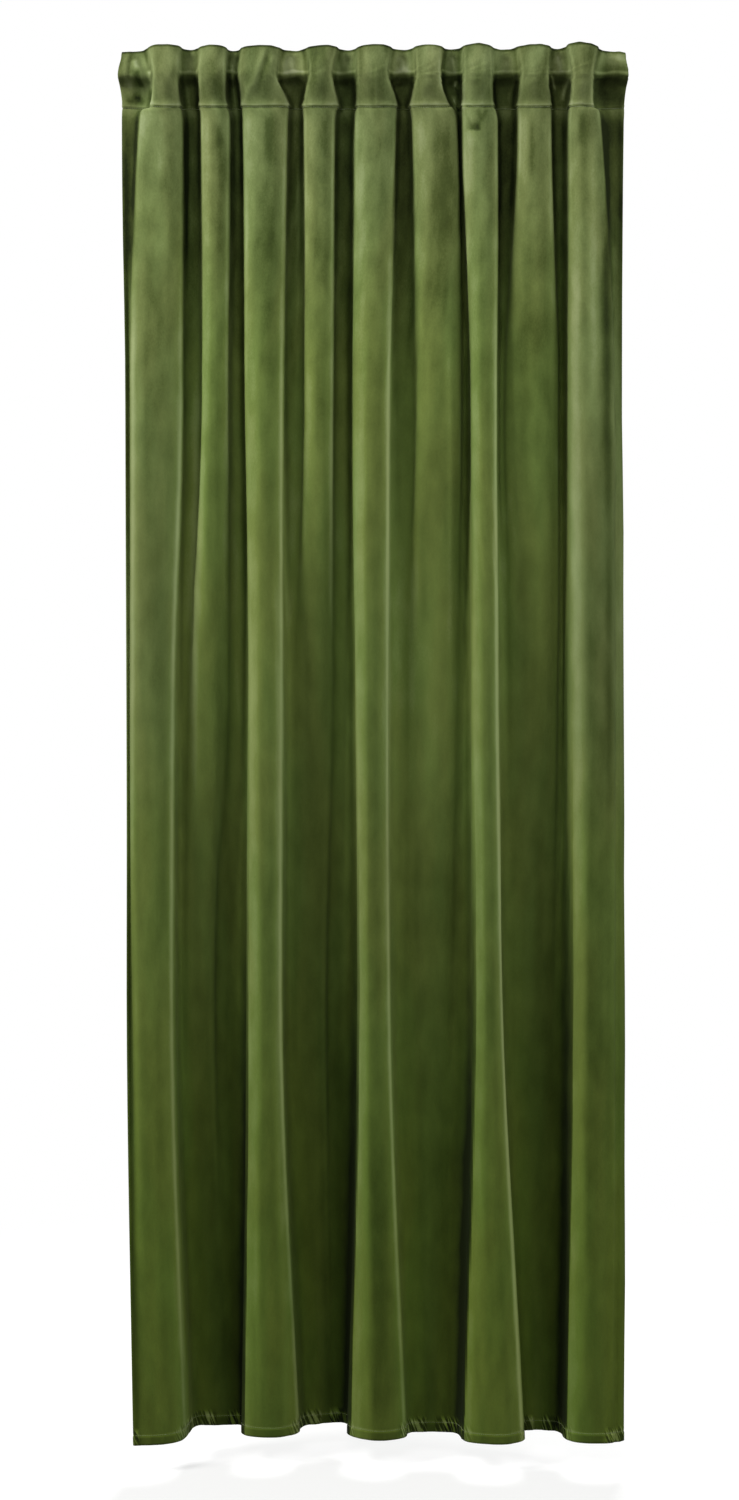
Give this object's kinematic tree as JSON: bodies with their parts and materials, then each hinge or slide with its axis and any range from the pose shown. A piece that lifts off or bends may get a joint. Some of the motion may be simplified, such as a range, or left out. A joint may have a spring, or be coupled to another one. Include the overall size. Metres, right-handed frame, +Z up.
{
  "type": "tab top curtain with hidden tabs",
  "caption": "Long velvet curtain panel hung in soft vertical folds, with a woven heading strip and hidden tabs behind its top edge.",
  "frame": {"origin": "middle of the curtain's top edge, in the plane in which its valleys hang, above the rod space behind the hidden tabs", "axes": "+Z up, -Y towards the front of the curtain, +X to the right seen from the front"},
  "size_m": [0.8999, 0.1379, 2.4505],
  "materials": {
    "velvet": "olive-green velvet with a short soft pile and a pale sheen on its fold edges",
    "heading_tape": "dull woven polyester tape in a matching green",
    "tab_webbing": "plain woven webbing in a matching green"
  },
  "bodies": {
    "root": {"panel": "velvet", "heading_strip": "heading_tape", "tab_01": "tab_webbing", "tab_02": "tab_webbing", "tab_03": "tab_webbing", "tab_04": "tab_webbing", "tab_05": "tab_webbing", "tab_06": "tab_webbing", "tab_07": "tab_webbing", "tab_08": "tab_webbing", "tab_09": "tab_webbing", "tab_10": "tab_webbing"}
  },
  "joints": []
}
